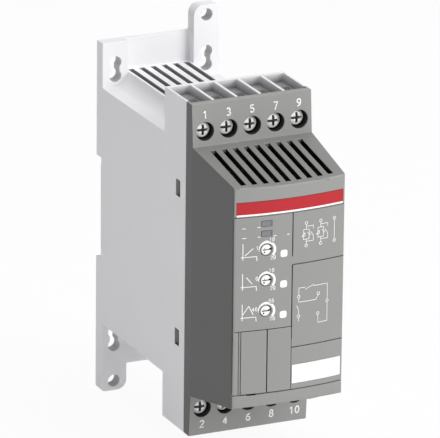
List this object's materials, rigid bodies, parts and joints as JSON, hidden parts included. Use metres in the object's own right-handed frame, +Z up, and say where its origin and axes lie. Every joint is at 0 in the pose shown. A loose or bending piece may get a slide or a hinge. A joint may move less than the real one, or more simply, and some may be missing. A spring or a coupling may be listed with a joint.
{
  "type": "soft starter",
  "caption": "Compact rail-mounted soft starter: light rear housing with fixing ears, grey crowned front, rising-cage terminals, setting dials, connector cover and sprung rail latch.",
  "frame": {"origin": "centre of the face that seats on the rail, on the rail's centre line", "axes": "+X right seen from the front, +Y back towards the rail, +Z up"},
  "size_m": [0.045, 0.114, 0.14],
  "materials": {
    "light_plastic": "fine matt moulding",
    "grey_plastic": "fine matt moulding",
    "strip_red": "satin",
    "marker_white": "satin",
    "dial_white": "satin",
    "trimmer_blue": "satin",
    "guide_clear": "clear, smoked by what lies behind",
    "board_green": "solder mask",
    "black_plastic": "moulded",
    "relay_case": "moulded",
    "zinc_steel": "bright zinc plating",
    "tin_copper": "tinned copper",
    "aluminium": "extruded",
    "ferrite": "varnished laminations",
    "led_epoxy": "cast epoxy"
  },
  "bodies": {
    "housing": {"base_housing": "light_plastic", "front_housing": "grey_plastic", "title_strip": "strip_red", "marker_plate": "marker_white", "start_ramp_trimmer": "trimmer_blue", "stop_ramp_trimmer": "trimmer_blue", "start_voltage_trimmer": "trimmer_blue", "upper_light_guide": "guide_clear", "lower_light_guide": "guide_clear", "upper_status_lamp": "led_epoxy", "lower_status_lamp": "led_epoxy", "control_board": "board_green", "riser_board": "board_green", "power_board": "board_green", "accessory_connector": "black_plastic", "thyristor_module_1": "black_plastic", "thyristor_module_2": "black_plastic", "bypass_relay_1": "relay_case", "bypass_relay_2": "relay_case", "supply_transformer": "ferrite", "filter_capacitor": "black_plastic", "heat_sink": "aluminium", "through_bar": "tin_copper", "latch_spring": "zinc_steel", "contact_bar_1": "tin_copper", "contact_bar_2": "tin_copper", "contact_bar_3": "tin_copper", "contact_bar_4": "tin_copper", "contact_bar_7": "tin_copper", "contact_bar_8": "tin_copper", "contact_bar_9": "tin_copper", "contact_bar_10": "tin_copper"},
    "start_ramp_dial": {"start_ramp_dial": "dial_white"},
    "stop_ramp_dial": {"stop_ramp_dial": "dial_white"},
    "start_voltage_dial": {"start_voltage_dial": "dial_white"},
    "terminal_screw_1": {"terminal_screw_1": "zinc_steel"},
    "clamp_cage_1": {"clamp_cage_1": "zinc_steel"},
    "terminal_screw_2": {"terminal_screw_2": "zinc_steel"},
    "clamp_cage_2": {"clamp_cage_2": "zinc_steel"},
    "terminal_screw_3": {"terminal_screw_3": "zinc_steel"},
    "clamp_cage_3": {"clamp_cage_3": "zinc_steel"},
    "terminal_screw_4": {"terminal_screw_4": "zinc_steel"},
    "clamp_cage_4": {"clamp_cage_4": "zinc_steel"},
    "terminal_screw_5": {"terminal_screw_5": "zinc_steel"},
    "clamp_cage_5": {"clamp_cage_5": "zinc_steel"},
    "terminal_screw_6": {"terminal_screw_6": "zinc_steel"},
    "clamp_cage_6": {"clamp_cage_6": "zinc_steel"},
    "terminal_screw_7": {"terminal_screw_7": "zinc_steel"},
    "clamp_cage_7": {"clamp_cage_7": "zinc_steel"},
    "terminal_screw_8": {"terminal_screw_8": "zinc_steel"},
    "clamp_cage_8": {"clamp_cage_8": "zinc_steel"},
    "terminal_screw_9": {"terminal_screw_9": "zinc_steel"},
    "clamp_cage_9": {"clamp_cage_9": "zinc_steel"},
    "terminal_screw_10": {"terminal_screw_10": "zinc_steel"},
    "clamp_cage_10": {"clamp_cage_10": "zinc_steel"},
    "connector_cover": {"connector_cover": "grey_plastic"},
    "rail_latch": {"rail_latch": "light_plastic"}
  },
  "joints": [
    {"name": "start_ramp_turn", "type": "hinge", "parent": "housing", "child": "start_ramp_dial", "pos_m": [-0.0092, -0.107, 0.0169], "axis": [0, 1, 0], "range_deg": [-180, 45]},
    {"name": "stop_ramp_turn", "type": "hinge", "parent": "housing", "child": "stop_ramp_dial", "pos_m": [-0.0092, -0.107, 0.0059], "axis": [0, 1, 0], "range_deg": [-180, 45]},
    {"name": "start_voltage_turn", "type": "hinge", "parent": "housing", "child": "start_voltage_dial", "pos_m": [-0.0092, -0.107, -0.0051], "axis": [0, 1, 0], "range_deg": [-180, 45]},
    {"name": "screw_turn_1", "type": "hinge", "parent": "housing", "child": "terminal_screw_1", "pos_m": [-0.0177, -0.07362, 0.0504], "axis": [0, 1, 0], "range_deg": [0, 1800]},
    {"name": "cage_rise_1", "type": "slide", "parent": "housing", "child": "clamp_cage_1", "axis": [0, -1, 0], "range_m": [0, 0.0025]},
    {"name": "screw_turn_2", "type": "hinge", "parent": "housing", "child": "terminal_screw_2", "pos_m": [-0.0177, -0.07362, -0.0504], "axis": [0, 1, 0], "range_deg": [0, 1800]},
    {"name": "cage_rise_2", "type": "slide", "parent": "housing", "child": "clamp_cage_2", "axis": [0, -1, 0], "range_m": [0, 0.0025]},
    {"name": "screw_turn_3", "type": "hinge", "parent": "housing", "child": "terminal_screw_3", "pos_m": [-0.00885, -0.07362, 0.0504], "axis": [0, 1, 0], "range_deg": [0, 1800]},
    {"name": "cage_rise_3", "type": "slide", "parent": "housing", "child": "clamp_cage_3", "axis": [0, -1, 0], "range_m": [0, 0.0025]},
    {"name": "screw_turn_4", "type": "hinge", "parent": "housing", "child": "terminal_screw_4", "pos_m": [-0.00885, -0.07362, -0.0504], "axis": [0, 1, 0], "range_deg": [0, 1800]},
    {"name": "cage_rise_4", "type": "slide", "parent": "housing", "child": "clamp_cage_4", "axis": [0, -1, 0], "range_m": [0, 0.0025]},
    {"name": "screw_turn_5", "type": "hinge", "parent": "housing", "child": "terminal_screw_5", "pos_m": [0, -0.07362, 0.0504], "axis": [0, 1, 0], "range_deg": [0, 1800]},
    {"name": "cage_rise_5", "type": "slide", "parent": "housing", "child": "clamp_cage_5", "axis": [0, -1, 0], "range_m": [0, 0.0025]},
    {"name": "screw_turn_6", "type": "hinge", "parent": "housing", "child": "terminal_screw_6", "pos_m": [0, -0.07362, -0.0504], "axis": [0, 1, 0], "range_deg": [0, 1800]},
    {"name": "cage_rise_6", "type": "slide", "parent": "housing", "child": "clamp_cage_6", "axis": [0, -1, 0], "range_m": [0, 0.0025]},
    {"name": "screw_turn_7", "type": "hinge", "parent": "housing", "child": "terminal_screw_7", "pos_m": [0.00885, -0.07362, 0.0504], "axis": [0, 1, 0], "range_deg": [0, 1800]},
    {"name": "cage_rise_7", "type": "slide", "parent": "housing", "child": "clamp_cage_7", "axis": [0, -1, 0], "range_m": [0, 0.0025]},
    {"name": "screw_turn_8", "type": "hinge", "parent": "housing", "child": "terminal_screw_8", "pos_m": [0.00885, -0.07362, -0.0504], "axis": [0, 1, 0], "range_deg": [0, 1800]},
    {"name": "cage_rise_8", "type": "slide", "parent": "housing", "child": "clamp_cage_8", "axis": [0, -1, 0], "range_m": [0, 0.0025]},
    {"name": "screw_turn_9", "type": "hinge", "parent": "housing", "child": "terminal_screw_9", "pos_m": [0.0177, -0.07362, 0.0504], "axis": [0, 1, 0], "range_deg": [0, 1800]},
    {"name": "cage_rise_9", "type": "slide", "parent": "housing", "child": "clamp_cage_9", "axis": [0, -1, 0], "range_m": [0, 0.0025]},
    {"name": "screw_turn_10", "type": "hinge", "parent": "housing", "child": "terminal_screw_10", "pos_m": [0.0177, -0.07362, -0.0504], "axis": [0, 1, 0], "range_deg": [0, 1800]},
    {"name": "cage_rise_10", "type": "slide", "parent": "housing", "child": "clamp_cage_10", "axis": [0, -1, 0], "range_m": [0, 0.0025]},
    {"name": "cover_pull", "type": "slide", "parent": "housing", "child": "connector_cover", "axis": [0, -1, 0], "range_m": [0, 0.012]},
    {"name": "latch_slide", "type": "slide", "parent": "housing", "child": "rail_latch", "axis": [0, 0, -1], "range_m": [0, 0.003], "stiffness_N_per_m": 1200, "springref_m": -0.003, "deforming": ["latch_spring"]}
  ],
  "couplings": [
    {"joint": "screw_turn_1", "follows": "cage_rise_1", "rad_per_m": 12566},
    {"joint": "screw_turn_2", "follows": "cage_rise_2", "rad_per_m": 12566},
    {"joint": "screw_turn_3", "follows": "cage_rise_3", "rad_per_m": 12566},
    {"joint": "screw_turn_4", "follows": "cage_rise_4", "rad_per_m": 12566},
    {"joint": "screw_turn_5", "follows": "cage_rise_5", "rad_per_m": 12566},
    {"joint": "screw_turn_6", "follows": "cage_rise_6", "rad_per_m": 12566},
    {"joint": "screw_turn_7", "follows": "cage_rise_7", "rad_per_m": 12566},
    {"joint": "screw_turn_8", "follows": "cage_rise_8", "rad_per_m": 12566},
    {"joint": "screw_turn_9", "follows": "cage_rise_9", "rad_per_m": 12566},
    {"joint": "screw_turn_10", "follows": "cage_rise_10", "rad_per_m": 12566}
  ]
}
